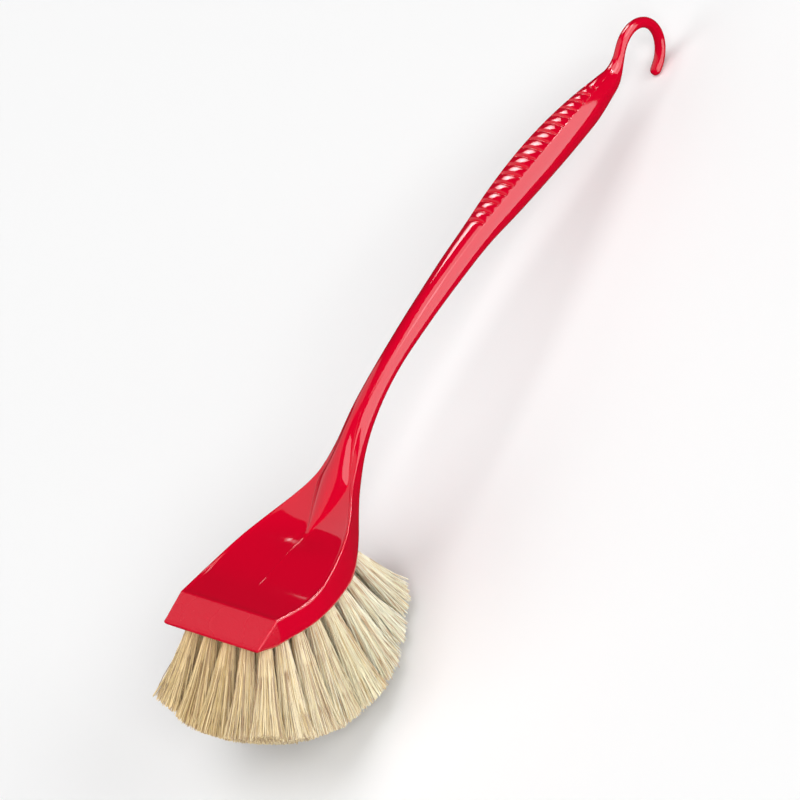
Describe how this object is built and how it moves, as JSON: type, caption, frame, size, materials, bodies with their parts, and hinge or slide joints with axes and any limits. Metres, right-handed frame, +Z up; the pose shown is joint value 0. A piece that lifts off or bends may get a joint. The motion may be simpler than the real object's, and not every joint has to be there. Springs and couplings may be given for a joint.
{
  "type": "scrub brush",
  "caption": "Scrub brush: a dished head with a fan of natural fibre tufts and a scraper edge, on a long curved handle with a ribbed thumb strip and a hanging hook.",
  "frame": {"origin": "centre of the bounding box in plan, on the floor the brush lies on", "axes": "+X along the brush from the scraper to the hook, +Y across the head, +Z up from the floor; the brush lies on its trimmed fibre tips and the end of its hook"},
  "size_m": [0.3244, 0.0616, 0.071],
  "materials": {
    "moulding": "glossy injection moulded, deep red",
    "fibre": "unbleached natural plant fibre, straw coloured",
    "anchor_wire": "flat drawn wire, cut ends"
  },
  "bodies": {
    "root": {"handle": "moulding", "tuft_1_1": "fibre", "tuft_1_2": "fibre", "tuft_1_3": "fibre", "tuft_1_4": "fibre", "tuft_1_5": "fibre", "tuft_2_1": "fibre", "tuft_2_2": "fibre", "tuft_2_3": "fibre", "tuft_2_4": "fibre", "tuft_2_5": "fibre", "tuft_3_1": "fibre", "tuft_3_2": "fibre", "tuft_3_3": "fibre", "tuft_3_4": "fibre", "tuft_3_5": "fibre", "tuft_4_1": "fibre", "tuft_4_2": "fibre", "tuft_4_3": "fibre", "tuft_4_4": "fibre", "tuft_4_5": "fibre", "tuft_5_1": "fibre", "tuft_5_2": "fibre", "tuft_5_3": "fibre", "tuft_5_4": "fibre", "tuft_5_5": "fibre", "tuft_6_1": "fibre", "tuft_6_2": "fibre", "tuft_6_3": "fibre", "tuft_6_4": "fibre", "tuft_6_5": "fibre", "tuft_7_1": "fibre", "tuft_7_2": "fibre", "tuft_7_3": "fibre", "tuft_7_4": "fibre", "tuft_8_1": "fibre", "tuft_8_2": "fibre", "tuft_8_3": "fibre", "anchors_1": "anchor_wire", "anchors_2": "anchor_wire", "anchors_3": "anchor_wire", "anchors_4": "anchor_wire", "anchors_5": "anchor_wire", "anchors_6": "anchor_wire", "anchors_7": "anchor_wire", "anchors_8": "anchor_wire"}
  },
  "joints": []
}
